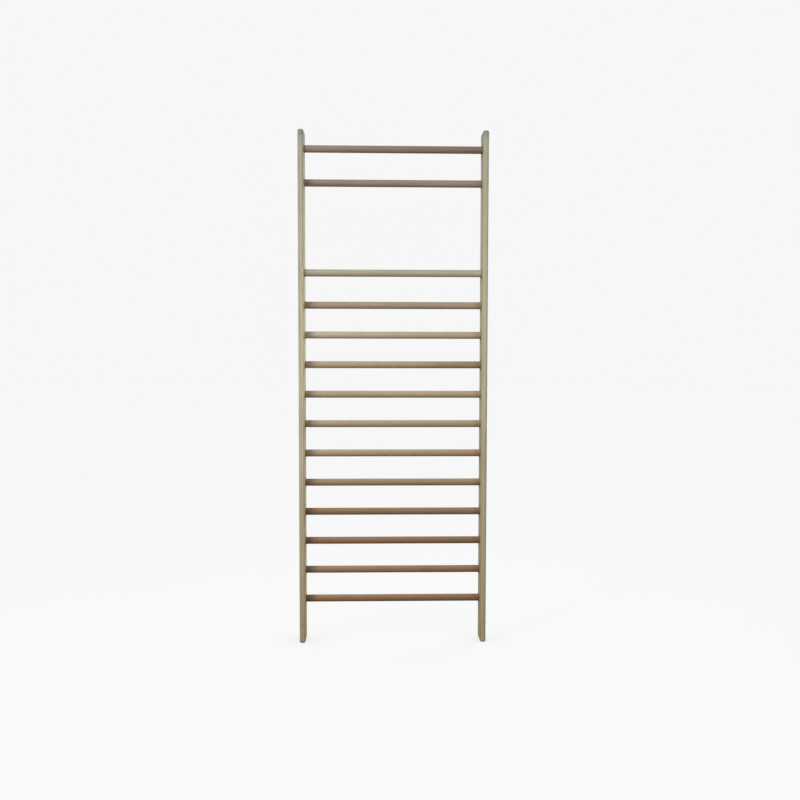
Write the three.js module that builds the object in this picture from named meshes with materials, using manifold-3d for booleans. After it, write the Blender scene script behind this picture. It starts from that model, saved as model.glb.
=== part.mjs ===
// Swedish wall bars: two wooden uprights with rounded edges, joined by round rungs. Each rung end sits in
// a blind socket, and a countersunk screw through the wood behind the socket draws the joint tight.
//
// Millimetres, +Z up. The climber's side faces -Y and the wall side +Y. The origin is on the floor,
// midway between the uprights and midway through their depth.

import * as THREE from "three";
import { mergeVertices } from "three/addons/utils/BufferGeometryUtils.js";
import Module from "manifold-3d";

const wasm = await Module();
wasm.setup();

// Uprights
const OVERALL_WIDTH = 900;
const UPRIGHT_THICKNESS = 28;
const UPRIGHT_DEPTH = 100;
const EDGE_ROUND = 10;
const END_FACE_CORNER = 1;

// Rungs, spaced from the floor up
const RUNG_DIAMETER = 34;
const RUNG_END_CHAMFER = 1.5;
const LOWEST_RUNG_HEIGHT = 207;
const CLIMBING_RUNGS = 11;
const RUNG_PITCH = 142;
const SHOULDER_STEP = 151;
const HEAD_GAP = 426;
const HANGING_STEP = 154;
const UPRIGHT_ABOVE_TOP_RUNG = 88;

// Most rungs lie on the uprights' centre line. The rung below the head gap and the top one stand forward.
const FORWARD_OFFSET = 22;

// Sockets: the wood left behind each one, and the room that the glue takes
const SOCKET_WALL = 8;
const SOCKET_CLEARANCE = 0.3;
const SOCKET_END_GAP = 0.5;

// Countersunk wood screws
const SCREW_LENGTH = 60;
const SCREW_DIAMETER = 5;
const SCREW_TIP_LENGTH = 7;
const SCREW_HEAD_DIAMETER = 10;
const SCREW_HEAD_RIM = 0.6;
const SCREW_HEAD_SINK = 0.4;
const SCREW_CLEARANCE = 0.3;

// Facets
const RUNG_SIDES = 24;
const SCREW_SIDES = 12;
const EDGE_ARC_STEPS = 4;
const END_ROUND_STEPS = 4;

// Worked out from the sizes above
const SIDES = { left: -1, right: 1 };
const END_ROUND = EDGE_ROUND - END_FACE_CORNER;
const INNER_FACE_X = OVERALL_WIDTH / 2 - UPRIGHT_THICKNESS;
const SOCKET_DEPTH = UPRIGHT_THICKNESS - SOCKET_WALL;
const RUNG_HALF_LENGTH = INNER_FACE_X + SOCKET_DEPTH - SOCKET_END_GAP;
const RUNG_RADIUS = RUNG_DIAMETER / 2;
const SCREW_RADIUS = SCREW_DIAMETER / 2;
const HEAD_RADIUS = SCREW_HEAD_DIAMETER / 2;
const HEAD_CONE_START = SCREW_HEAD_SINK + SCREW_HEAD_RIM;
const HEAD_CONE_LENGTH = HEAD_RADIUS - SCREW_RADIUS;
const SCREW_REACH = SCREW_HEAD_SINK + SCREW_LENGTH;
const RUNGS = placeRungs();
const UPRIGHT_LENGTH = RUNGS.at(-1).height + UPRIGHT_ABOVE_TOP_RUNG;

// Finishes
const PALE_WOOD = { color: 0xb9b08c, roughness: 0.55, metalness: 0 };
const TAN_WOOD = { color: 0xa08b72, roughness: 0.5, metalness: 0 };
const ZINC_STEEL = { color: 0xb4b3ab, roughness: 0.35, metalness: 1 };

// Height and depth of every rung's axis, from the lowest rung to the top one.
function placeRungs() {
  const rungs = [];
  for (let step = 0; step < CLIMBING_RUNGS; step++) {
    rungs.push({ height: LOWEST_RUNG_HEIGHT + step * RUNG_PITCH, depth: 0 });
  }
  const addAbove = (rise, depth) => rungs.push({ height: rungs.at(-1).height + rise, depth });
  addAbove(SHOULDER_STEP, -FORWARD_OFFSET);
  addAbove(HEAD_GAP, 0);
  addAbove(HANGING_STEP, -FORWARD_OFFSET);
  return rungs.map((rung, index) => ({ ...rung, number: String(index + 1).padStart(2, "0") }));
}

function piece(name, geometry, finish) {
  const mesh = new THREE.Mesh(geometry, new THREE.MeshStandardMaterial(finish));
  mesh.name = name;
  return mesh;
}

// A closed geometry as a solid that can be cut.
function solidFrom(geometry) {
  const bare = geometry.clone();
  bare.deleteAttribute("normal");
  bare.deleteAttribute("uv");
  const merged = mergeVertices(bare);
  return new wasm.Manifold(
    new wasm.Mesh({
      numProp: 3,
      vertProperties: merged.getAttribute("position").array,
      triVerts: new Uint32Array(merged.index.array),
    }),
  );
}

// A cut solid back as a geometry to draw.
function geometryFrom(solid) {
  const { vertProperties, triVerts } = solid.getMesh();
  const geometry = new THREE.BufferGeometry();
  geometry.setAttribute("position", new THREE.BufferAttribute(vertProperties, 3));
  geometry.setIndex(new THREE.BufferAttribute(triVerts, 1));
  geometry.computeVertexNormals();
  return geometry;
}

// A profile of [radius, distance along the axis] points, revolved about the X axis.
function turned(profile, sides) {
  const points = profile.map(([radius, along]) => new THREE.Vector2(radius, along));
  return new THREE.LatheGeometry(points, sides).rotateZ(-Math.PI / 2);
}

// The upright's cross-section: a board with all four long edges rounded.
function boardSection() {
  const x = UPRIGHT_THICKNESS / 2 - EDGE_ROUND;
  const y = UPRIGHT_DEPTH / 2 - EDGE_ROUND;
  const quarter = Math.PI / 2;
  const section = new THREE.Shape();
  [[x, y], [-x, y], [-x, -y], [x, -y]].forEach(([cornerX, cornerY], corner) => {
    section.absarc(cornerX, cornerY, EDGE_ROUND, corner * quarter, (corner + 1) * quarter, false);
  });
  return section;
}

// The blind socket for a rung's end. Like the screw and its hole, it is drawn for an upright whose outer
// face is at x = 0 and whose rung lies towards +X.
function socketCutter() {
  const socket = RUNG_RADIUS + SOCKET_CLEARANCE;
  const past = UPRIGHT_THICKNESS + SOCKET_DEPTH;
  return turned(
    [
      [0, SOCKET_WALL],
      [socket, SOCKET_WALL],
      [socket, past],
      [0, past],
    ],
    RUNG_SIDES,
  );
}

// The screw's countersink and hole, as far as the end of its pilot hole in the rung.
function screwHoleCutter() {
  const mouth = HEAD_RADIUS + SCREW_CLEARANCE;
  const hole = SCREW_RADIUS + SCREW_CLEARANCE;
  const end = SCREW_REACH + SCREW_CLEARANCE;
  return turned(
    [
      [0, -SCREW_LENGTH],
      [mouth, -SCREW_LENGTH],
      [mouth, HEAD_CONE_START],
      [hole, HEAD_CONE_START + HEAD_CONE_LENGTH],
      [hole, end],
      [0, end],
    ],
    SCREW_SIDES,
  );
}

// Where a joint sits on an upright: facing +X on the left one and -X on the right one.
function jointMatrix(side, rung) {
  const place = new THREE.Vector3((side * OVERALL_WIDTH) / 2, rung.depth, rung.height);
  const turn = new THREE.Quaternion().setFromAxisAngle(new THREE.Vector3(0, 0, 1), side > 0 ? Math.PI : 0);
  return new THREE.Matrix4().compose(place, turn, new THREE.Vector3(1, 1, 1));
}

function upright(sideName) {
  const side = SIDES[sideName];
  const board = new THREE.ExtrudeGeometry(boardSection(), {
    depth: UPRIGHT_LENGTH - 2 * END_ROUND,
    curveSegments: EDGE_ARC_STEPS,
    bevelThickness: END_ROUND,
    bevelSize: END_ROUND,
    bevelOffset: -END_ROUND,
    bevelSegments: END_ROUND_STEPS,
  });
  board.translate((side * (OVERALL_WIDTH - UPRIGHT_THICKNESS)) / 2, 0, END_ROUND);
  const cutters = [socketCutter(), screwHoleCutter()];
  let solid = solidFrom(board);
  for (const rung of RUNGS) {
    for (const cutter of cutters) {
      solid = solid.subtract(solidFrom(cutter.clone().applyMatrix4(jointMatrix(side, rung))));
    }
  }
  return piece(`upright_${sideName}`, geometryFrom(solid), PALE_WOOD);
}

// A round bar with chamfered ends, centred on the origin, with a pilot hole for a screw in each end.
function rungGeometry() {
  const end = RUNG_HALF_LENGTH;
  const chamfered = RUNG_RADIUS - RUNG_END_CHAMFER;
  const bar = turned(
    [
      [0, -end],
      [chamfered, -end],
      [RUNG_RADIUS, -end + RUNG_END_CHAMFER],
      [RUNG_RADIUS, end - RUNG_END_CHAMFER],
      [chamfered, end],
      [0, end],
    ],
    RUNG_SIDES,
  );
  let solid = solidFrom(bar);
  for (const side of Object.values(SIDES)) {
    const pilot = screwHoleCutter().applyMatrix4(jointMatrix(side, { depth: 0, height: 0 }));
    solid = solid.subtract(solidFrom(pilot));
  }
  return geometryFrom(solid);
}

// A countersunk screw with its head just under the upright's outer face, pointing to +X.
function screwGeometry() {
  return turned(
    [
      [0, SCREW_HEAD_SINK],
      [HEAD_RADIUS, SCREW_HEAD_SINK],
      [HEAD_RADIUS, HEAD_CONE_START],
      [SCREW_RADIUS, HEAD_CONE_START + HEAD_CONE_LENGTH],
      [SCREW_RADIUS, SCREW_REACH - SCREW_TIP_LENGTH],
      [0, SCREW_REACH],
    ],
    SCREW_SIDES,
  );
}

const wallBars = new THREE.Group();

for (const sideName of Object.keys(SIDES)) {
  wallBars.add(upright(sideName));
}

const rungShape = rungGeometry();
for (const rung of RUNGS) {
  const bar = piece(`rung_${rung.number}`, rungShape, TAN_WOOD);
  bar.position.set(0, rung.depth, rung.height);
  wallBars.add(bar);
}

const screwShape = screwGeometry();
for (const [sideName, side] of Object.entries(SIDES)) {
  for (const rung of RUNGS) {
    const screw = piece(`rung_screw_${sideName}_${rung.number}`, screwShape, ZINC_STEEL);
    screw.applyMatrix4(jointMatrix(side, rung));
    wallBars.add(screw);
  }
}

export default wallBars;
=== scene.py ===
"""Swedish wall bars: pale rounded uprights, turned rungs and the zinc screws that hold them."""

import math
import random
from typing import NamedTuple

import bmesh
import bpy
from mathutils import Matrix, Vector


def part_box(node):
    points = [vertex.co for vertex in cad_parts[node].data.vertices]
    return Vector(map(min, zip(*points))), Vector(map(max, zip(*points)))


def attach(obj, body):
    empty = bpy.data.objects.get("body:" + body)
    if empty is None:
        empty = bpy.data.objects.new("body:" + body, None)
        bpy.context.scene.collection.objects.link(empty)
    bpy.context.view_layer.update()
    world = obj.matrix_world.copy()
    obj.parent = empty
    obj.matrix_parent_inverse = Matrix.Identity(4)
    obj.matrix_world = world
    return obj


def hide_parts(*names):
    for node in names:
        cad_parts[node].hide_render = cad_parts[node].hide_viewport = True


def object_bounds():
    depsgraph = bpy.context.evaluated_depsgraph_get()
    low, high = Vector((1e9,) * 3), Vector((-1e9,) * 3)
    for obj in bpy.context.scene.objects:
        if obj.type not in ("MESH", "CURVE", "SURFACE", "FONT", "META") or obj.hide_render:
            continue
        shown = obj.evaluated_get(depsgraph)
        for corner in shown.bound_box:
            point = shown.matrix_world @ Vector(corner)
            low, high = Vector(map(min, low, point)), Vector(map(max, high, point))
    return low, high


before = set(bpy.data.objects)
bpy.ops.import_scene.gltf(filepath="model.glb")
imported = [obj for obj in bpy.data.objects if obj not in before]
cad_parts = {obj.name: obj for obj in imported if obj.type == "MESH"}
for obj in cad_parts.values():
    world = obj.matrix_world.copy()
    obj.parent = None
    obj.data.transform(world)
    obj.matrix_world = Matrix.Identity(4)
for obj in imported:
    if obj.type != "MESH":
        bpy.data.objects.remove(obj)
CAD_LOW, CAD_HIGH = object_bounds()

# Uprights. All lengths are in metres.
EDGE_ROUND = 0.010
END_ROUND = 0.009
EDGE_STEPS = 8
END_STEPS = 6

# Rung joints
SOCKET_WALL = 0.008
SOCKET_CLEARANCE = 0.0003
SOCKET_LIP = 0.0006
RUNG_CHAMFER = 0.0015
RUNG_SIDES = 64

# Countersunk screws, with the end of the plain shank measured from the upright's outer face
HEAD_RIM = 0.0006
SHANK_RADIUS = 0.0025
SHANK_END = 0.024
CORE_RADIUS = 0.0017
TIP_LENGTH = 0.007
SCREW_SIDES = 32
SCREW_CLEARANCE = 0.0003
PILOT_RADIUS = SHANK_RADIUS + SCREW_CLEARANCE

# Threads: ridges whose foot lies inside the core, at a share of its radius
THREAD_PITCH = 0.0025
THREAD_BASE = 0.0011
THREAD_FOOT = 0.9
THREAD_STEPS = 14

# Cross recesses, which narrow to a share of their size at the bottom
CROSS_ARM = 0.0027
CROSS_WIDTH = 0.0011
CROSS_DEPTH = 0.0022
CROSS_TAPER = 0.45

# Points closer than WELD are one point. An end face's normal points up or down by END_FACE_RISE or more.
# Smooth shading breaks at edges sharper than these angles, in degrees.
WELD = 1e-5
END_FACE_RISE = 0.9
WOOD_EDGE_ANGLE = 35
STEEL_EDGE_ANGLE = 30

# Growth rings: their width, where the log's heart lies beside an upright's middle, how near and how far
# beside a rung's axis it can lie, and how far it wanders along a piece
UPRIGHT_RING = 0.0042
UPRIGHT_HEART = (0.034, 0.018)
RUNG_RING = 0.0034
RUNG_HEART = (0.03, 0.07)
HEART_WANDER = 0.036

# Painted light and shade, greying and grime on the uprights by height: above the floor, from the height of
# the hands, and below the top. Painted warm shade lies towards the floor, painted cool light above the
# hands, and painted shade on the foot.
WARM_SHADE_HEIGHTS = (0.0, 1.5)
COOL_LIGHT_HEIGHTS = (1.5, 2.5)
GREY_EDGE_HEIGHTS = (0.5, 2.0)
SCUFFED_HEIGHTS = (0.0, 0.16)
FOOT_SHADE_HEIGHTS = (0.0, 0.008)
GRIP_HEIGHT = {"left": 1.06, "right": 0.93}
GRIP_BAND = (0.04, 0.16)
GREY_TOP = (0.055, 0.004)

# How far mottling and streaks shift the borders of the painted warm shade low down, the painted cool light
# on the upper part and the top
WARM_SHADE_RAGGED = 0.5
COOL_LIGHT_RAGGED = 0.3
TOP_RAGGED = 0.05

# Painted light and shade, greying and grime on the uprights by distance from the middle of the thickness,
# towards the rungs
INNER_EDGE_BAND = (0.0, 0.009)
OUTER_EDGE_BAND = (-0.012, 0.010)
FACE_BAND = (0.010, 0.0135)

# Painted light and shade and greying on the uprights by distance from the front or back, and from the inner
# or outer face
FRONT_BAND = (-1.2 * EDGE_ROUND, 0.0)
SIDE_BAND = (-1.8 * EDGE_ROUND, 0.0)

# Painted contact shade and grime at the joint line and round the joints, and grime round the screw heads, on
# the uprights by distance from a rung's axis
JOINT_LINE_BAND = (0.0172, 0.0215)
SCREW_RIM_BAND = (0.005, 0.0085)
NEAR_JOINT_BAND = (0.020, 0.045)

# Marks on the rungs by distance from the uprights' inner faces: the socket stain, the left upright's painted
# shadow and the pooled varnish; by distance from the middle: where hands grip; and the height above which
# the painted light on a rung's top turns to painted shade
SOCKET_STAIN = (0.008, 0.0)
LEFT_SHADOW_BAND = (0.08, 0.01)
RIGHT_CORNER = (0.045, 0.015)
RUNG_GRIP_BAND = (0.18, 0.36)
TOP_LIGHT_REACH = 1.3

# A rung's upper side, in shares of its radius above the axis
RUNG_TOP_BAND = (0.1, 0.8)

# Relief of the wood's marks, and of scratches in zinc
WOOD_RELIEF = {"fibre": 0.00006, "rings": 0.00002, "pores": -0.00008, "dings": 0.0003}
SCRATCH_RELIEF = 0.00002


class WoodNoise(NamedTuple):
    """Repeats to the metre along and across the grain, a shift that sets it apart, and its fineness."""

    along: float
    across: float
    shift: float
    detail: float = 2.0
    roughness: float = 0.5


HEART_DRIFT = WoodNoise(0.8, 4.0, shift=0.0, detail=1.0)
HEART_SWAY = WoodNoise(0.6, 3.0, shift=9.0, detail=1.0)
UNEVEN_RINGS = WoodNoise(1.5, 25.0, shift=4.0)
FIBRES = WoodNoise(9.0, 900.0, shift=0.0, detail=3.0, roughness=0.6)
STREAKS = WoodNoise(1.2, 150.0, shift=6.0, detail=3.0)
PORES = WoodNoise(45.0, 1600.0, shift=0.0, detail=1.0)
DINGS = WoodNoise(14.0, 30.0, shift=3.0)
UPRIGHT_MOTTLE = WoodNoise(3.5, 8.0, shift=2.0)
UPRIGHT_CLOUD = WoodNoise(45.0, 60.0, shift=5.0, detail=3.0)
EDGE_PATCHES = WoodNoise(9.0, 30.0, shift=12.0, detail=3.0)
RUNG_MOTTLE = WoodNoise(5.0, 8.0, shift=2.0)
RUNG_CLOUD = WoodNoise(25.0, 60.0, shift=5.0, detail=3.0)
RUNG_FLECKS = WoodNoise(260.0, 1500.0, shift=8.0, detail=1.0)

# Repeats to the metre along X, Y and Z on the screws, and the shifts that set them apart
ZINC_CLOUD = (420.0, 420.0, 420.0)
ZINC_CLOUD_SHIFT = 1.0
ZINC_SCRATCHES = (1500.0, 1500.0, 300.0)
ZINC_SCRATCH_SHIFT = 5.0

# Camera, turned by yaw, pitch and roll in degrees, with its lens in millimetres
CAMERA_PLACE = (-0.0690, -4.0291, 1.3891)
CAMERA_TURN = (-1.4595, -3.0661, -0.0991)
CAMERA_LENS = 37.66

# Lamps: where each stands, the height it is aimed at, its width and its power in watts. Their light spreads
# over so many degrees.
LAMPS = {
    "key": ((-4.5, -3.5, 3.4), 1.3, 3.2, 45.0),
    "right_fill": ((3.6, -3.2, 1.8), 1.4, 1.6, 10.5),
    "front_fill": ((0.2, -4.5, 2.2), 1.4, 1.8, 1.8),
    "back_light": ((3.2, 2.8, 2.4), 1.4, 1.6, 15.0),
}
LAMP_SPREAD = 80

# Floor: half its width, the squares along it, and how far a soft shadow reaches from the feet
FLOOR_HALF = 30.0
FLOOR_SQUARES = 4
CONTACT_REACH = 0.16

# Seeds for what differs from piece to piece
RUNG_SEED = 14
SCREW_SEED = 28


# Places that the construction gives

def centre(node):
    low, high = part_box(node)
    return (low + high) / 2


def size(node):
    low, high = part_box(node)
    return high - low


SIDES = {"left": -1, "right": 1}
OUTER_X = CAD_HIGH.x
UPRIGHT_HEIGHT = CAD_HIGH.z
UPRIGHT_DEPTH = CAD_HIGH.y - CAD_LOW.y
UPRIGHT_THICKNESS = size("upright_right").x
INNER_X = OUTER_X - UPRIGHT_THICKNESS

RUNG_NUMBERS = sorted(
    name.removeprefix("rung_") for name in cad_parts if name.removeprefix("rung_").isdigit())
RUNG_CENTRES = [centre(f"rung_{number}") for number in RUNG_NUMBERS]
RUNG_LENGTH = size("rung_01").x
RUNG_RADIUS = size("rung_01").z / 2

# The rungs up to this one are evenly spaced
CLIMBING_RUNGS = 11
TOP_CLIMBING_RUNG = RUNG_CENTRES[CLIMBING_RUNGS - 1]

SCREW_LENGTH = size("rung_screw_left_01").x
HEAD_RADIUS = size("rung_screw_left_01").z / 2
HEAD_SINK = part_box("rung_screw_left_01")[0].x + OUTER_X
HEAD_CONE = HEAD_RADIUS - SHANK_RADIUS


# Shader building

class Wire:
    """An output of a node. Arithmetic with wires and numbers adds Math nodes."""

    def __init__(self, nodes, socket):
        self.nodes = nodes
        self.socket = socket

    def math(self, operation, *others):
        values = dict(enumerate((self, *others)))
        return self.nodes.node("ShaderNodeMath", {"operation": operation}, values)["Value"]

    def reflected(self, operation, other):
        return self.nodes.node("ShaderNodeMath", {"operation": operation}, {0: other, 1: self})["Value"]

    def __add__(self, other):
        return self.math("ADD", other)

    def __sub__(self, other):
        return self.math("SUBTRACT", other)

    def __mul__(self, other):
        return self.math("MULTIPLY", other)

    def __truediv__(self, other):
        return self.math("DIVIDE", other)

    def __rsub__(self, other):
        return self.reflected("SUBTRACT", other)

    def __rtruediv__(self, other):
        return self.reflected("DIVIDE", other)

    __radd__ = __add__
    __rmul__ = __mul__

    def step(self, start, end):
        """A soft step from 0 at start to 1 at end."""
        return self.nodes.node(
            "ShaderNodeMapRange",
            {"interpolation_type": "SMOOTHSTEP"},
            {"Value": self, "From Min": start, "From Max": end},
        )["Result"]

    def fade(self, start, end):
        """A soft step from 1 at start to 0 at end."""
        return 1 - self.step(start, end)


class Nodes:
    """The node tree of a material or a world, emptied to be built anew."""

    def __init__(self, owner):
        owner.use_nodes = True
        self.tree = owner.node_tree
        self.tree.nodes.clear()

    def node(self, kind, settings=None, inputs=None):
        """Adds a node, sets it up, fills its sockets by name or order, and returns its outputs by name."""
        node = self.tree.nodes.new(kind)
        for key, value in (settings or {}).items():
            setattr(node, key, value)
        open_sockets = [socket for socket in node.inputs if socket.enabled]
        for key, value in (inputs or {}).items():
            if isinstance(key, int):
                socket = open_sockets[key]
            else:
                socket = next(found for found in open_sockets if found.name == key)
            if isinstance(value, Wire):
                self.tree.links.new(value.socket, socket)
            else:
                socket.default_value = value
        return {out.name: Wire(self, out) for out in node.outputs if out.enabled}


# The way along which a shift moves a noise
SHIFT_WAY = (1.0, 0.7, 1.3)


class Finish(Nodes):
    """A material and the nodes that paint it, on Object coordinates."""

    def __init__(self, name):
        self.material = bpy.data.materials.new(name)
        super().__init__(self.material)
        self.place = self.node("ShaderNodeTexCoord")["Object"]
        axes = self.node("ShaderNodeSeparateXYZ", inputs={"Vector": self.place})
        self.x, self.y, self.z = axes["X"], axes["Y"], axes["Z"]

    def noise(self, repeats, shift, detail=2.0, roughness=0.5):
        """Noise from 0 to 1 with so many repeats to the metre along each axis."""
        where = self.node(
            "ShaderNodeVectorMath",
            {"operation": "MULTIPLY_ADD"},
            {0: self.place, 1: repeats, 2: [shift * way for way in SHIFT_WAY]},
        )["Vector"]
        return self.node(
            "ShaderNodeTexNoise",
            inputs={"Vector": where, "Scale": 1.0, "Detail": detail, "Roughness": roughness},
        )["Fac"]

    def blend(self, factor, low, high, way="MIX"):
        """A colour from low to high, or from low to low times high where the way is MULTIPLY."""
        return self.node(
            "ShaderNodeMix",
            {"data_type": "RGBA", "blend_type": way},
            {"Factor": factor, "A": low, "B": high},
        )["Result"]

    def shade(self, colour, amount):
        """A colour made lighter or darker by a wire."""
        return self.node(
            "ShaderNodeVectorMath", {"operation": "SCALE"}, {"Vector": colour, "Scale": amount}
        )["Vector"]

    def bump(self, relief):
        """A normal for a relief given in metres."""
        return self.node(
            "ShaderNodeBump", inputs={"Strength": 1.0, "Distance": 1.0, "Height": relief}
        )["Normal"]

    def surface(self, **sockets):
        """Ends the tree in a Principled shader. Socket names have spaces for underscores."""
        named = {key.replace("_", " "): value for key, value in sockets.items()}
        shader = self.node("ShaderNodeBsdfPrincipled", inputs=named)["BSDF"]
        self.node("ShaderNodeOutputMaterial", inputs={"Surface": shader})
        return self.material


# Wood tones

def tone(red, green, blue):
    """A linear colour."""
    return (red, green, blue, 1.0)


UPRIGHT_EARLY_WOOD = {"left": tone(0.695, 0.617, 0.427), "right": tone(0.64, 0.59, 0.405)}
UPRIGHT_LATE_WOOD = tone(0.48, 0.40, 0.255)
UPRIGHT_WARM_SHADE = {"left": tone(0.482, 0.383, 0.21), "right": tone(0.488, 0.392, 0.224)}
UPRIGHT_COOL_LIGHT = {"left": tone(0.47, 0.46, 0.39), "right": tone(0.55, 0.545, 0.445)}
# A grey that makes the outer edges and the tops darker and greyer
UPRIGHT_EDGE_GREY = tone(0.31, 0.325, 0.30)
# The colour of grime, and of painted shade on the uprights and rungs
GRIME_AND_SHADE = tone(0.13, 0.10, 0.07)

# Painted light on the left upright's inner edge and painted shade on the right one's, as a factor
INNER_EDGE_LIGHT_AND_SHADE = {"left": tone(1.12, 1.07, 1.03), "right": tone(0.95, 0.91, 0.84)}

# Warm varnish pooled at a rung's right end, as a factor
POOLED_VARNISH = tone(1.06, 0.96, 0.857)

RUNG_TONES = {
    "umber": tone(0.31, 0.178, 0.09),
    "russet": tone(0.31, 0.168, 0.103),
    "coffee": tone(0.245, 0.152, 0.083),
    "hazel": tone(0.315, 0.196, 0.125),
    "nut": tone(0.295, 0.19, 0.105),
    "chestnut": tone(0.27, 0.157, 0.091),
    "moss": tone(0.36, 0.26, 0.145),
    "olive": tone(0.40, 0.33, 0.19),
    "bark": tone(0.35, 0.255, 0.155),
    "rose": tone(0.42, 0.28, 0.185),
    "fawn": tone(0.45, 0.345, 0.24),
    "tan": tone(0.48, 0.378, 0.25),
    "honey": tone(0.52, 0.405, 0.265),
    "cream": tone(0.585, 0.50, 0.37),
    "ash": tone(0.525, 0.45, 0.35),
    "dun": tone(0.395, 0.303, 0.238),
    "drab": tone(0.295, 0.218, 0.175),
}

# Each rung's tones from its left end to its right end, from the floor up
RUNG_WOODS = [
    ("umber", "coffee"),
    ("hazel", "hazel", "chestnut", "chestnut"),
    ("russet", "coffee"),
    ("umber", "nut"),
    ("moss", "moss"),
    ("fawn", "rose"),
    ("tan", "olive"),
    ("tan", "tan"),
    ("tan", "tan", "bark"),
    ("cream", "honey"),
    ("fawn", "fawn"),
    ("ash", "ash"),
    ("dun", "dun"),
    ("dun", "drab"),
]

# The share of a rung's length along which its tones change, and how far mottling carries them
TONE_SPAN = 0.9
TONE_WANDER = 1.1

# How a year's growth darkens and ends, as shares of the year, how pale its late wood can stay, and how many
# rings the uneven growth shifts it by
LATE_WOOD_RISE = (0.3, 0.9)
LATE_WOOD_END = (0.93, 1.0)
LEAN_YEARS = 0.75
RING_WANDER = 2.0

# The levels of noise between which marks show
PORE_LEVELS = (0.64, 0.74)
FLECK_LEVELS = (0.60, 0.72)
PATCH_LEVELS = (0.3, 0.7)
SCUFF_LEVELS = (0.42, 0.72)
HAND_LEVELS = (0.50, 0.80)
DULLED_LEVELS = (0.35, 0.75)

# How much each mark of the wood lightens it, or darkens it if below 0, and how it changes the roughness
UPRIGHT_TINT = {"mottle": 0.16, "streaks": 0.16, "fibre": 0.14, "pores": -0.10}
UPRIGHT_ROUGHNESS = {"fibre": 0.16, "pores": 0.10, "dirt": 0.20}
RUNG_TINT = {
    "rings": -0.26, "streaks": 0.22, "mottle": 0.25, "fibre": 0.16, "pores": -0.12, "flecks": -0.10,
}
RUNG_ROUGHNESS = {"fibre": 0.14, "pores": 0.10, "polish": -0.12}

# Varnish: how much it mirrors, and its roughness on either wood
VARNISH_GLOSS = 0.1
UPRIGHT_VARNISH = 0.55
RUNG_VARNISH = 0.5

# How much late wood, the painted warm shade and the painted cool light show on the uprights
LATE_WOOD_SHARE = 0.7
WARM_SHADE_SHARE = 0.9
COOL_LIGHT_SHARE = 0.6

# How much darker and greyer the outer edges are at the floor and how much more at the top, how much of that
# is even and how much in patches, how much greyer the tops are, and the most of all
EDGE_GREYING = {"left": (0.22, 0.78), "right": (0.7, -0.2)}
EVEN_GREYING = 0.55
PATCHY_GREYING = 0.75
TOP_GREYING = 0.75
MOST_GREYING = 0.85

# How dark grime and painted shade make each place on the uprights: painted contact shade and grime at the
# joint line and round the joints, painted shade on the foot, grime elsewhere; and how much painted shade
# darkens their inner faces
UPRIGHT_GRIME_AND_SHADE = {
    "joint_line": 0.55, "screw_rim": 0.5, "near_joints": 0.22, "held": 0.14, "scuffs": 0.45, "foot": 0.45,
}
INNER_FACE_SHADE = {"left": 0.0, "right": 0.28}

# The even part and the clouded part of the grime at hand height
HELD_EVEN = 0.6
HELD_CLOUD = 0.8

# How dark a rung is made by grime in its sockets, by the left upright's painted shadow over its left end,
# deepest at floor height, and by grime where hands grip it
SOCKET_GRIME = 0.25
LEFT_PAINTED_SHADOW = 0.62
RUNG_GRIP_GRIME = 0.16

# How light a rung is before its marks darken it, how much lighter its top is painted at floor height as
# painted light from above, turning darker as painted shade higher up, and how much of its colour painted
# cool light takes from the top
RUNG_LIGHTNESS = 1.10
TOP_PAINTED_LIGHT = 0.28
TOP_COOL_LIGHT = 0.09

# Shifts that keep the two uprights' grain apart, and the widest shift of a rung's
UPRIGHT_SHIFTS = {"left": 3.0, "right": 17.0}
WIDEST_SHIFT = 50


class Grain:
    """Growth rings and fibres of a piece sawn beside a log's heart, running along one axis."""

    def __init__(self, finish, axis, middle, heart, ring_width, shift):
        self.finish = finish
        self.run = "xyz".index(axis)
        self.shift = shift
        across = [(finish.x, middle.x), (finish.y, middle.y), (finish.z, middle.z)]
        del across[self.run]
        first, second = (
            place - offset - beside + (self.noise(wander) - 0.5) * HEART_WANDER
            for (place, offset), beside, wander in zip(across, heart, (HEART_DRIFT, HEART_SWAY))
        )
        radius = (first * first + second * second).math("SQRT")
        rings = radius / ring_width + self.noise(UNEVEN_RINGS) * RING_WANDER
        year = rings.math("FRACT")
        lean = finish.node(
            "ShaderNodeTexWhiteNoise", {"noise_dimensions": "1D"}, {"W": rings.math("FLOOR") + shift}
        )["Value"]
        late_wood = year.step(*LATE_WOOD_RISE) * year.fade(*LATE_WOOD_END)
        self.marks = {
            "rings": late_wood * (1 - lean * LEAN_YEARS),
            "fibre": self.noise(FIBRES) - 0.5,
            "streaks": self.noise(STREAKS) - 0.5,
            "pores": self.noise(PORES).step(*PORE_LEVELS),
        }

    def noise(self, look, own_shift=True):
        """A noise drawn out along the grain, shifted for this piece alone or the same on all."""
        repeats = [look.across] * 3
        repeats[self.run] = look.along
        shift = look.shift + (self.shift if own_shift else 0.0)
        return self.finish.noise(repeats, shift, look.detail, look.roughness)

    def weigh(self, base, weights, **more):
        """A base value, changed by each mark of the wood times its weight."""
        marks = {**self.marks, **more}
        return sum((marks[name] * weight for name, weight in weights.items()), start=base)

    def relief(self):
        """Height of raised fibres, sunk pores and the swell left by years of use."""
        return self.weigh(0.0, WOOD_RELIEF, dings=self.noise(DINGS, own_shift=False))


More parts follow.
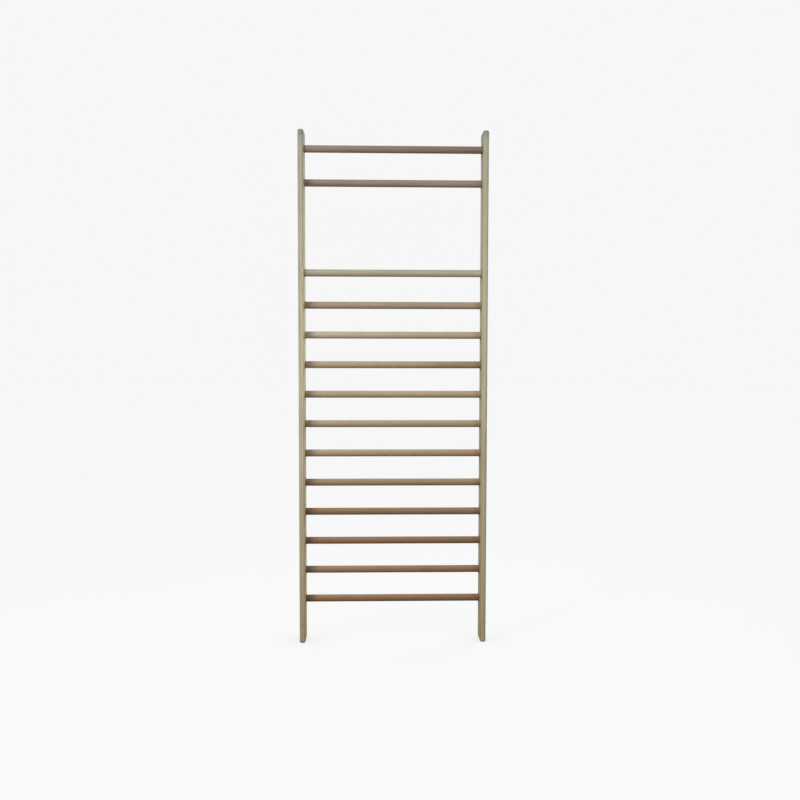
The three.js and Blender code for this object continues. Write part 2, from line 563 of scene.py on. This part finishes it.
def joint_distance(finish):
    """Distance from the nearest rung's axis, for a point on an upright."""
    first, second = RUNG_CENTRES[:2]
    pitch = second.z - first.z
    above = finish.z - (first.z - pitch / 2)
    nearest = (above.math("MODULO", pitch) - pitch / 2).math("ABSOLUTE")
    nearest = nearest.math("MAXIMUM", finish.z - TOP_CLIMBING_RUNG.z)
    distance = (finish.y * finish.y + nearest * nearest).math("SQRT")
    for at in RUNG_CENTRES[CLIMBING_RUNGS:]:
        aside, up = finish.y - at.y, finish.z - at.z
        distance = distance.math("MINIMUM", (aside * aside + up * up).math("SQRT"))
    return distance


def tone_with_height_light(finish, side, grain, mottle):
    """An upright's wood, with painted warm shade towards the floor and painted cool light above."""
    colour = finish.blend(
        grain.marks["rings"] * LATE_WOOD_SHARE, UPRIGHT_EARLY_WOOD[side], UPRIGHT_LATE_WOOD)
    # Painted shade: darker and browner towards the floor. Painted light: greyer and cooler above the hands.
    warm_shade = (finish.z + mottle * WARM_SHADE_RAGGED).fade(*WARM_SHADE_HEIGHTS)
    cool_light = (finish.z + mottle * COOL_LIGHT_RAGGED).step(*COOL_LIGHT_HEIGHTS)
    colour = finish.blend(warm_shade * WARM_SHADE_SHARE, colour, UPRIGHT_WARM_SHADE[side])
    colour = finish.blend(cool_light * COOL_LIGHT_SHARE, colour, UPRIGHT_COOL_LIGHT[side])
    return finish.shade(colour, grain.weigh(1.0, UPRIGHT_TINT, mottle=mottle))


def edge_tones(finish, side, grain, inward, patches, colour):
    """An upright's colour with painted light on the left inner edge and painted shade on the right one, and
    its outer edges and top made darker and greyer.
    """
    aside = inward.math("ABSOLUTE") - UPRIGHT_THICKNESS / 2
    ahead = finish.y.math("ABSOLUTE") - UPRIGHT_DEPTH / 2
    facing = ahead.step(*FRONT_BAND)
    # Painted light on the left upright's inner edge, painted shade on the right one's
    colour = finish.blend(inward.step(*INNER_EDGE_BAND) * facing, colour, INNER_EDGE_LIGHT_AND_SHADE[side], "MULTIPLY")
    # The outer edges and the tops are made darker and greyer, evenly and in patches
    outer_edges = aside.step(*SIDE_BAND) * facing * inward.fade(*OUTER_EDGE_BAND)
    low_greying, more_greying = EDGE_GREYING[side]
    # How much darker and greyer the outer edges are at this height
    wear = low_greying + finish.z.step(*GREY_EDGE_HEIGHTS) * more_greying
    grey_edges = outer_edges * wear * (EVEN_GREYING + patches * PATCHY_GREYING)
    top_start, top_end = (UPRIGHT_HEIGHT - below for below in GREY_TOP)
    top = (finish.z + grain.marks["streaks"] * TOP_RAGGED).step(top_start, top_end)
    greyer_over = (grey_edges + top * TOP_GREYING).math("MINIMUM", MOST_GREYING)
    return finish.blend(greyer_over, colour, UPRIGHT_EDGE_GREY)


def upright_grime_and_shade(finish, side, inward, cloud):
    """How much grime and painted shade lie on an upright, from 0 to 1."""
    near = joint_distance(finish)
    inner_face = inward.step(*FACE_BAND)
    outer_face = (inward * -1).step(*FACE_BAND)
    grip = (finish.z - GRIP_HEIGHT[side]).math("ABSOLUTE").fade(*GRIP_BAND)
    places = {
        # Painted contact shade and grime at the joint line
        "joint_line": inner_face * near.fade(*JOINT_LINE_BAND),
        "screw_rim": outer_face * near.fade(*SCREW_RIM_BAND),
        # Painted contact shade and grime round the joints
        "near_joints": inner_face * near.fade(*NEAR_JOINT_BAND) * cloud,
        "held": grip * (HELD_EVEN + cloud * HELD_CLOUD),
        "scuffs": finish.z.fade(*SCUFFED_HEIGHTS) * cloud.step(*SCUFF_LEVELS),
        # Painted shade on the bottom end of the foot
        "foot": finish.z.fade(*FOOT_SHADE_HEIGHTS),
    }
    # Painted shade on the right upright's inner face
    inner_shade = inner_face * INNER_FACE_SHADE[side]
    dirt = sum((mask * UPRIGHT_GRIME_AND_SHADE[place] for place, mask in places.items()), start=inner_shade)
    return dirt.math("MINIMUM", 1.0)


def upright_wood(side):
    """Pale varnished wood with darker, greyer outer edges, scuffed towards the floor, and painted light and
    shade: warm shade low down, cool light above, light and shade on the inner edges and faces, shade round
    the joints and on the foot.
    """
    finish = Finish(f"{side}_upright_wood")
    middle = centre(f"upright_{side}")
    beside, behind = UPRIGHT_HEART
    heart = (SIDES[side] * beside, behind)
    grain = Grain(finish, "z", middle, heart, UPRIGHT_RING, UPRIGHT_SHIFTS[side])
    mottle = grain.noise(UPRIGHT_MOTTLE) - 0.5
    patches = grain.noise(EDGE_PATCHES).step(*PATCH_LEVELS)
    cloud = grain.noise(UPRIGHT_CLOUD)
    inward = (finish.x - middle.x) * -SIDES[side]
    colour = tone_with_height_light(finish, side, grain, mottle)
    colour = edge_tones(finish, side, grain, inward, patches, colour)
    dirt = upright_grime_and_shade(finish, side, inward, cloud)
    return finish.surface(
        Base_Color=finish.blend(dirt, colour, GRIME_AND_SHADE),
        Roughness=grain.weigh(UPRIGHT_VARNISH, UPRIGHT_ROUGHNESS, dirt=dirt),
        Specular_IOR_Level=VARNISH_GLOSS,
        Normal=finish.bump(grain.relief()),
    )


def tones_along(finish, tones, mottle):
    """A rung's tones, one after the other from its left end to its right end."""
    along = finish.x / RUNG_LENGTH + mottle * TONE_WANDER
    stretch = TONE_SPAN / (len(tones) - 1)
    colour = RUNG_TONES[tones[0]]
    for place, name in enumerate(tones[1:]):
        start = place * stretch - TONE_SPAN / 2
        colour = finish.blend(along.step(start, start + stretch), colour, RUNG_TONES[name])
    return colour


def rung_wood(number, tones, chance):
    """Turned hardwood that shifts in tone along its length, with short flecks and hand wear, the left
    upright's painted shadow over its left end, and painted light on its top.
    """
    finish = Finish(f"rung_{number}_wood")
    middle = centre(f"rung_{number}")
    angle = chance.uniform(0, 2 * math.pi)
    beside = chance.uniform(*RUNG_HEART)
    shift = chance.uniform(0, WIDEST_SHIFT)
    heart = (beside * math.cos(angle), beside * math.sin(angle))
    grain = Grain(finish, "x", middle, heart, RUNG_RING, shift)
    mottle = grain.noise(RUNG_MOTTLE) - 0.5
    flecks = grain.noise(RUNG_FLECKS).step(*FLECK_LEVELS)
    cloud = grain.noise(RUNG_CLOUD)

    top_start, top_end = (share * RUNG_RADIUS for share in RUNG_TOP_BAND)
    top = (finish.z - middle.z).step(top_start, top_end)
    # Painted light on the top, lighter on low rungs and turning to painted shade on high ones
    top_light = TOP_PAINTED_LIGHT * (1 - middle.z / TOP_LIGHT_REACH)
    tint = grain.weigh(RUNG_LIGHTNESS, RUNG_TINT, mottle=mottle, flecks=flecks) + top * top_light
    colour = finish.shade(tones_along(finish, tones, mottle), tint)
    # Painted cool light greys the top
    colour = finish.node(
        "ShaderNodeHueSaturation", inputs={"Saturation": 1 - top * TOP_COOL_LIGHT, "Color": colour})["Color"]

    from_inner_face = INNER_X - finish.x.math("ABSOLUTE")
    socket = from_inner_face.step(*SOCKET_STAIN)
    # Painted shadow of the left upright over the rung's left end, deeper on lower rungs
    left_shadow = (INNER_X + finish.x).step(*LEFT_SHADOW_BAND)
    right_end = (INNER_X - finish.x).step(*RIGHT_CORNER)
    grip = finish.x.math("ABSOLUTE").fade(*RUNG_GRIP_BAND)
    left_shadow_depth = LEFT_PAINTED_SHADOW * (1 - middle.z / UPRIGHT_HEIGHT)
    hands = grip * cloud.step(*HAND_LEVELS)
    dirt = socket * SOCKET_GRIME + left_shadow * left_shadow_depth + hands * RUNG_GRIP_GRIME
    colour = finish.blend(dirt, colour, GRIME_AND_SHADE)
    if middle.z <= TOP_CLIMBING_RUNG.z:
        colour = finish.blend(right_end, colour, POOLED_VARNISH, "MULTIPLY")
    return finish.surface(
        Base_Color=colour,
        Roughness=grain.weigh(RUNG_VARNISH, RUNG_ROUGHNESS, polish=grip * cloud),
        Specular_IOR_Level=VARNISH_GLOSS,
        Normal=finish.bump(grain.relief()),
    )


# Zinc plate, with its roughness where it is brightest and what dull patches and scratches add
ZINC_DULLED = tone(0.26, 0.25, 0.22)
ZINC_BRIGHT = tone(0.42, 0.41, 0.37)
ZINC_ROUGHNESS = 0.36
PATCH_ROUGHNESS = 0.20
SCRATCH_ROUGHNESS = 0.08


def zinc_steel():
    """Zinc plate that has dulled in patches."""
    finish = Finish("zinc_plated_screws")
    cloud = finish.noise(ZINC_CLOUD, ZINC_CLOUD_SHIFT, detail=3.0)
    scratch = finish.noise(ZINC_SCRATCHES, ZINC_SCRATCH_SHIFT)
    return finish.surface(
        Base_Color=finish.blend(cloud.step(*DULLED_LEVELS), ZINC_DULLED, ZINC_BRIGHT),
        Metallic=1.0,
        Roughness=ZINC_ROUGHNESS + cloud * PATCH_ROUGHNESS + scratch * SCRATCH_ROUGHNESS,
        Normal=finish.bump(scratch * SCRATCH_RELIEF),
    )


# Mesh building

def turned(profile, sides):
    """A profile of (along, radius) points spun about the X axis."""
    shape = bmesh.new()
    points = [shape.verts.new((along, 0.0, radius)) for along, radius in profile]
    lines = [shape.edges.new(pair) for pair in zip(points, points[1:])]
    bmesh.ops.spin(
        shape, geom=points + lines, cent=(0, 0, 0), axis=(1, 0, 0),
        angle=2 * math.pi, steps=sides, use_merge=True)
    bmesh.ops.remove_doubles(shape, verts=shape.verts, dist=WELD)
    bmesh.ops.recalc_face_normals(shape, faces=shape.faces)
    return shape


def loose_object(name, shape):
    """A new object for a bmesh, linked to the scene."""
    mesh = bpy.data.meshes.new(name)
    shape.to_mesh(mesh)
    shape.free()
    made = bpy.data.objects.new(name, mesh)
    bpy.context.scene.collection.objects.link(made)
    return made


def weld(mesh):
    """Merges the double points that a cut leaves, and drops the faces that this flattens."""
    shape = bmesh.new()
    shape.from_mesh(mesh)
    bmesh.ops.remove_doubles(shape, verts=shape.verts, dist=WELD)
    bmesh.ops.dissolve_degenerate(shape, dist=WELD, edges=shape.edges)
    shape.to_mesh(mesh)
    shape.free()


def combine(body, tool_shape, operation):
    """Cuts a bmesh away from an object, or joins it on, and leaves no modifier behind."""
    tool = loose_object("tool", tool_shape)
    boolean = body.modifiers.new("combine", "BOOLEAN")
    boolean.operation = operation
    boolean.solver = "EXACT"
    boolean.object = tool
    graph = bpy.context.evaluated_depsgraph_get()
    result = bpy.data.meshes.new_from_object(body.evaluated_get(graph))
    body.modifiers.clear()
    spent = [body.data, tool.data]
    body.data = result
    bpy.data.objects.remove(tool)
    for mesh in spent:
        bpy.data.meshes.remove(mesh)
    weld(result)


def smooth(body, angle):
    """Smooth shading that breaks at edges sharper than the angle in degrees."""
    body.data.shade_smooth()
    body.data.set_sharp_from_angle(angle=math.radians(angle))
    even = body.modifiers.new("even_shading", "WEIGHTED_NORMAL")
    even.keep_sharp = True


def dress(piece, node, material):
    """Puts a finished piece in the place of its CAD node."""
    piece.data.materials.clear()
    piece.data.materials.append(material)
    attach(piece, "root")
    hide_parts(node)


def joint_place(sign, at):
    """Moves a joint drawn with the outer face at x = 0 and the rung towards +X to its place."""
    turn = Matrix.Rotation(math.pi if sign > 0 else 0.0, 4, "Z")
    return Matrix.Translation((sign * OUTER_X, at.y, at.z)) @ turn


def socket_shape():
    """What a blind socket takes out of an upright, with its mouth eased."""
    radius = RUNG_RADIUS + SOCKET_CLEARANCE
    mouth = UPRIGHT_THICKNESS
    return turned(
        [
            (SOCKET_WALL, 0.0),
            (SOCKET_WALL, radius),
            (mouth - SOCKET_LIP, radius),
            (mouth, radius + SOCKET_LIP),
            (mouth + SOCKET_LIP, radius + 2 * SOCKET_LIP),
            (mouth + SOCKET_LIP, 0.0),
        ],
        RUNG_SIDES,
    )


def screw_hole_shape():
    """What a screw's hole and countersink take out of an upright."""
    mouth = HEAD_RADIUS + SCREW_CLEARANCE
    cone_start = HEAD_SINK + HEAD_RIM
    end = SOCKET_WALL + SOCKET_LIP
    return turned(
        [
            (-UPRIGHT_THICKNESS, 0.0),
            (-UPRIGHT_THICKNESS, mouth),
            (cone_start, mouth),
            (cone_start + HEAD_CONE, PILOT_RADIUS),
            (end, PILOT_RADIUS),
            (end, 0.0),
        ],
        SCREW_SIDES,
    )


def at_every_joint(side, make_shape):
    """A shape repeated at all of an upright's joints, as one bmesh."""
    whole = bmesh.new()
    for at in RUNG_CENTRES:
        shape = make_shape()
        shape.transform(joint_place(SIDES[side], at))
        mesh = bpy.data.meshes.new("joint")
        shape.to_mesh(mesh)
        shape.free()
        whole.from_mesh(mesh)
        bpy.data.meshes.remove(mesh)
    return whole


def round_off(shape, edges, radius, steps):
    bmesh.ops.bevel(
        shape, geom=edges, offset=radius, offset_type="OFFSET", affect="EDGES",
        segments=steps, profile=0.5, material=-1)


def upright(side):
    """A board with rounded edges and ends, its sockets and screw holes cut."""
    node = f"upright_{side}"
    shape = bmesh.new()
    bmesh.ops.create_cube(shape, size=1.0)
    bmesh.ops.scale(shape, vec=size(node), verts=shape.verts)
    bmesh.ops.translate(shape, vec=centre(node), verts=shape.verts)
    long_edges = [edge for edge in shape.edges if edge.calc_length() > UPRIGHT_HEIGHT / 2]
    round_off(shape, long_edges, EDGE_ROUND, EDGE_STEPS)
    end_faces = [face for face in shape.faces if abs(face.normal.z) > END_FACE_RISE]
    end_edges = [edge for face in end_faces for edge in face.edges]
    round_off(shape, end_edges, END_ROUND, END_STEPS)
    for below, above in zip(RUNG_CENTRES, RUNG_CENTRES[1:]):
        bmesh.ops.bisect_plane(
            shape, geom=shape.verts[:] + shape.edges[:] + shape.faces[:],
            plane_co=(below + above) / 2, plane_no=(0, 0, 1))
    board = loose_object(f"{side}_upright_board", shape)
    combine(board, at_every_joint(side, socket_shape), "DIFFERENCE")
    combine(board, at_every_joint(side, screw_hole_shape), "DIFFERENCE")
    smooth(board, WOOD_EDGE_ANGLE)
    dress(board, node, upright_wood(side))


def rung(number, material):
    """A round bar with chamfered ends and a pilot hole in each end."""
    end = RUNG_LENGTH / 2
    chamfer_end = end - RUNG_CHAMFER
    pilot_end = OUTER_X - (HEAD_SINK + SCREW_LENGTH + SCREW_CLEARANCE)
    shape = turned(
        [
            (-pilot_end, 0.0),
            (-pilot_end, PILOT_RADIUS),
            (-end, PILOT_RADIUS),
            (-end, RUNG_RADIUS - RUNG_CHAMFER),
            (-chamfer_end, RUNG_RADIUS),
            (chamfer_end, RUNG_RADIUS),
            (end, RUNG_RADIUS - RUNG_CHAMFER),
            (end, PILOT_RADIUS),
            (pilot_end, PILOT_RADIUS),
            (pilot_end, 0.0),
        ],
        RUNG_SIDES,
    )
    shape.transform(Matrix.Translation(centre(f"rung_{number}")))
    bar = loose_object(f"bar_{number}", shape)
    smooth(bar, WOOD_EDGE_ANGLE)
    dress(bar, f"rung_{number}", material)


def thread_shape(start, end):
    """A wood screw's thread as a ridge wound round the core, dying out along the tip."""
    shape = bmesh.new()
    foot = CORE_RADIUS * THREAD_FOOT
    ridge = [(-THREAD_BASE / 2, foot), (0.0, SHANK_RADIUS), (THREAD_BASE / 2, foot)]
    points = [shape.verts.new((start + along, 0.0, radius)) for along, radius in ridge]
    lines = [shape.edges.new((points[corner], points[corner - 1])) for corner in range(3)]
    turns = (end - start) / THREAD_PITCH
    steps = round(turns * THREAD_STEPS)
    bmesh.ops.spin(
        shape, geom=points + lines, cent=(0, 0, 0), axis=(1, 0, 0),
        dvec=((end - start) / steps, 0, 0), angle=turns * 2 * math.pi, steps=steps)
    bmesh.ops.holes_fill(shape, edges=shape.edges)
    for vert in shape.verts:
        taper = min(1.0, (HEAD_SINK + SCREW_LENGTH - vert.co.x) / TIP_LENGTH)
        vert.co.y *= taper
        vert.co.z *= taper
    bmesh.ops.recalc_face_normals(shape, faces=shape.faces)
    return shape


def cross_arm_shape(turn):
    """One arm of the cross recess, narrowing towards its floor."""
    shape = bmesh.new()
    bmesh.ops.create_cube(shape, size=1.0)
    bmesh.ops.scale(shape, vec=(2 * CROSS_DEPTH, CROSS_WIDTH, 2 * CROSS_ARM), verts=shape.verts)
    bottom = [vert for vert in shape.verts if vert.co.x > 0]
    bmesh.ops.scale(shape, vec=(1.0, CROSS_TAPER, CROSS_TAPER), verts=bottom)
    shape.transform(Matrix.Translation((HEAD_SINK, 0, 0)) @ Matrix.Rotation(turn, 4, "X"))
    return shape


def screw_mesh():
    """A countersunk wood screw with its head just under x = 0, pointing to +X."""
    cone_start = HEAD_SINK + HEAD_RIM
    tip = HEAD_SINK + SCREW_LENGTH
    body = loose_object("screw_pattern", turned(
        [
            (HEAD_SINK, 0.0),
            (HEAD_SINK, HEAD_RADIUS),
            (cone_start, HEAD_RADIUS),
            (cone_start + HEAD_CONE, SHANK_RADIUS),
            (SHANK_END, SHANK_RADIUS),
            (SHANK_END + SHANK_RADIUS - CORE_RADIUS, CORE_RADIUS),
            (tip - TIP_LENGTH, CORE_RADIUS),
            (tip, 0.0),
        ],
        SCREW_SIDES,
    ))
    combine(body, thread_shape(SHANK_END + THREAD_PITCH, tip - THREAD_PITCH), "UNION")
    for turn in (0.0, math.pi / 2):
        combine(body, cross_arm_shape(turn), "DIFFERENCE")
    mesh = body.data
    bpy.data.objects.remove(body)
    return mesh


def screws():
    """A screw in each end of each rung, every one driven to a turn of its own."""
    chance = random.Random(SCREW_SEED)
    pattern = screw_mesh()
    steel = zinc_steel()
    for side, sign in SIDES.items():
        for number, at in zip(RUNG_NUMBERS, RUNG_CENTRES):
            mesh = pattern.copy()
            driven = Matrix.Rotation(chance.uniform(0, 2 * math.pi), 4, "X")
            mesh.transform(joint_place(sign, at) @ driven)
            screw = bpy.data.objects.new(f"{side}_screw_{number}", mesh)
            bpy.context.scene.collection.objects.link(screw)
            smooth(screw, STEEL_EDGE_ANGLE)
            dress(screw, f"rung_screw_{side}_{number}", steel)
    bpy.data.meshes.remove(pattern)


# Studio

LAMP_TINT = (1.0, 0.995, 0.97)

# The level of the backdrop, and the light of the sky: its tint, its strength and what is added overhead
BACKDROP = 0.93
SKY_TINT = tone(0.93, 1.0, 1.04)
SKY_LEVEL = 0.125
SKY_ZENITH = 0.65

# The share of the floor's look that the lamps shade, how light they make it, how light the soft shadow under
# the feet stays, and the colour of the light that the floor throws back
FLOOR_SHADING = 0.07
FLOOR_LIGHT = 0.55
CONTACT_SHADE = 0.84
FLOOR_BOUNCE = tone(0.16, 0.12, 0.08)


def grey(level):
    return tone(level, level, level)


def seen_directly(nodes):
    """1 for rays that show the backdrop or mirror it, and 0 for those that carry light to the object."""
    path = nodes.node("ShaderNodeLightPath")
    mirrored = path["Is Glossy Ray"].math("MAXIMUM", path["Is Transmission Ray"])
    return path["Is Camera Ray"].math("MAXIMUM", mirrored)


def floor():
    """A pale floor that merges with the backdrop and keeps a soft shadow under the uprights' feet."""
    shape = bmesh.new()
    bmesh.ops.create_grid(shape, x_segments=FLOOR_SQUARES, y_segments=FLOOR_SQUARES, size=FLOOR_HALF)
    ground = loose_object("floor", shape)
    finish = Finish("pale_floor")
    glow_level = BACKDROP * (1 - FLOOR_SHADING * FLOOR_LIGHT) / (1 - FLOOR_SHADING)
    open_air = finish.node(
        "ShaderNodeAmbientOcclusion", inputs={"Color": grey(1.0), "Distance": CONTACT_REACH})["AO"]
    lit = finish.blend(open_air, grey(glow_level * CONTACT_SHADE), grey(glow_level))
    glow = finish.node("ShaderNodeEmission", inputs={"Color": lit})["Emission"]
    shaded = finish.node("ShaderNodeBsdfDiffuse", inputs={"Color": grey(BACKDROP)})["BSDF"]
    shown = finish.node("ShaderNodeMixShader", inputs={0: FLOOR_SHADING, 1: glow, 2: shaded})["Shader"]
    bounce = finish.node("ShaderNodeBsdfDiffuse", inputs={"Color": FLOOR_BOUNCE})["BSDF"]
    mixed = finish.node(
        "ShaderNodeMixShader", inputs={0: seen_directly(finish), 1: bounce, 2: shown})["Shader"]
    finish.node("ShaderNodeOutputMaterial", inputs={"Surface": mixed})
    ground.data.materials.append(finish.material)


def sky():
    """A pale backdrop whose light on the object comes mostly from overhead."""
    world = bpy.data.worlds.new("studio")
    bpy.context.scene.world = world
    nodes = Nodes(world)
    shown = nodes.node(
        "ShaderNodeBackground", inputs={"Color": grey(BACKDROP), "Strength": 1.0})["Background"]
    direction = nodes.node("ShaderNodeTexCoord")["Generated"]
    height = nodes.node("ShaderNodeSeparateXYZ", inputs={"Vector": direction})["Z"].math("MAXIMUM", 0.0)
    light = nodes.node(
        "ShaderNodeBackground",
        inputs={"Color": SKY_TINT, "Strength": SKY_LEVEL + height * SKY_ZENITH},
    )["Background"]
    mixed = nodes.node(
        "ShaderNodeMixShader", inputs={0: seen_directly(nodes), 1: light, 2: shown})["Shader"]
    nodes.node("ShaderNodeOutputWorld", inputs={"Surface": mixed})


def softbox(name, place, aimed_height, width, power):
    """A round soft lamp, aimed at the middle of the wall bars, whose grid narrows its light."""
    lamp = bpy.data.lights.new(name, "AREA")
    lamp.shape = "DISK"
    lamp.size = width
    lamp.spread = math.radians(LAMP_SPREAD)
    lamp.energy = power
    lamp.color = LAMP_TINT
    made = bpy.data.objects.new(name, lamp)
    made.location = place
    aim = Vector((0, 0, aimed_height)) - Vector(place)
    made.rotation_euler = aim.to_track_quat("-Z", "Y").to_euler()
    made.visible_camera = False
    bpy.context.scene.collection.objects.link(made)


def camera():
    """The photograph's view."""
    lens = bpy.data.cameras.new("photo_view")
    lens.lens = CAMERA_LENS
    made = bpy.data.objects.new("photo_view", lens)
    yaw, pitch, roll = (math.radians(angle) for angle in CAMERA_TURN)
    level = Matrix.Rotation(math.radians(90), 4, "X")
    turn = Matrix.Rotation(yaw, 4, "Z") @ Matrix.Rotation(pitch, 4, "X") @ Matrix.Rotation(roll, 4, "Y")
    made.matrix_world = Matrix.Translation(CAMERA_PLACE) @ turn @ level
    bpy.context.scene.collection.objects.link(made)
    bpy.context.scene.camera = made


for side_name in SIDES:
    upright(side_name)
luck = random.Random(RUNG_SEED)
for rung_number, rung_tones in zip(RUNG_NUMBERS, RUNG_WOODS):
    rung(rung_number, rung_wood(rung_number, rung_tones, luck))
screws()

floor()
sky()
for lamp_name, lamp_facts in LAMPS.items():
    softbox(lamp_name, *lamp_facts)
camera()
bpy.context.scene.view_settings.view_transform = "Standard"
